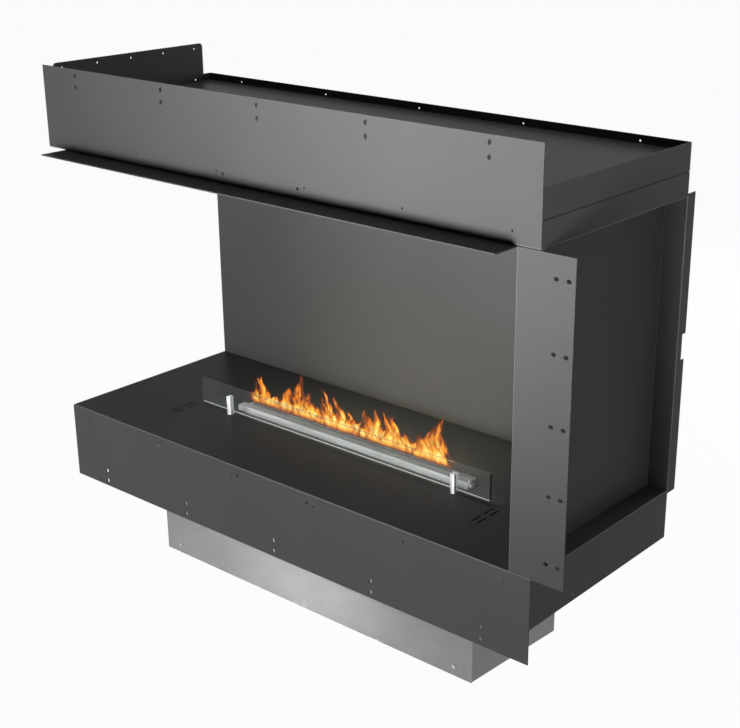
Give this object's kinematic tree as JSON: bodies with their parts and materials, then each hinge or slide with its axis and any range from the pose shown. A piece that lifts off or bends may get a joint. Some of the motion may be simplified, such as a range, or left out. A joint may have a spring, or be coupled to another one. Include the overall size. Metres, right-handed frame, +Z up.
{
  "type": "corner fireplace",
  "caption": "Built-in corner fireplace casing open at the front and left, with a slim ethanol burner, flame damper, glass wind shield and hanging burner housing.",
  "frame": {"origin": "middle of the footprint, on the underside of the burner housing", "axes": "+X along the width, from the open left side to the closed right side; +Y from the front to the back; +Z up"},
  "size_m": [1.264, 0.52, 1.037],
  "materials": {
    "casing_black": "satin anthracite powder coat",
    "housing_steel": "galvanised sheet",
    "burner_steel": "fine brushed",
    "screw_zinc": "zinc plated",
    "post_chrome": "polished",
    "clear_glass": "clear toughened glass",
    "wick_fibre": "matte ceramic fibre"
  },
  "bodies": {
    "casing": {"hearth_tray": "casing_black", "ceiling_tray": "casing_black", "roof_tray": "casing_black", "ceiling_plate": "casing_black", "right_side_wall": "casing_black", "back_wall": "casing_black", "housing_front_cover": "housing_steel", "housing_left_side": "housing_steel", "housing_right_side": "housing_steel", "housing_back_plate": "housing_steel", "housing_bottom_plate": "housing_steel", "housing_screw_1": "screw_zinc", "housing_screw_2": "screw_zinc", "housing_screw_3": "screw_zinc", "burner_body": "burner_steel", "fuel_tank": "burner_steel", "ceramic_wick": "wick_fibre", "burner_rail_left": "housing_steel", "burner_rail_right": "housing_steel", "glass_post_left": "post_chrome", "post_screw_left": "screw_zinc", "glass_post_right": "post_chrome", "post_screw_right": "screw_zinc"},
    "damper": {"damper_shaft": "burner_steel", "damper_lever": "burner_steel"},
    "glass": {"glass_shield": "clear_glass"}
  },
  "joints": [
    {"name": "damper_turn", "type": "hinge", "parent": "casing", "child": "damper", "pos_m": [-0.0195, 0.01, 0.3225], "axis": [1, 0, 0], "range_deg": [0, 90]},
    {"name": "glass_lift", "type": "slide", "parent": "casing", "child": "glass", "axis": [0, 0, 1], "range_m": [0, 0.0312]}
  ]
}
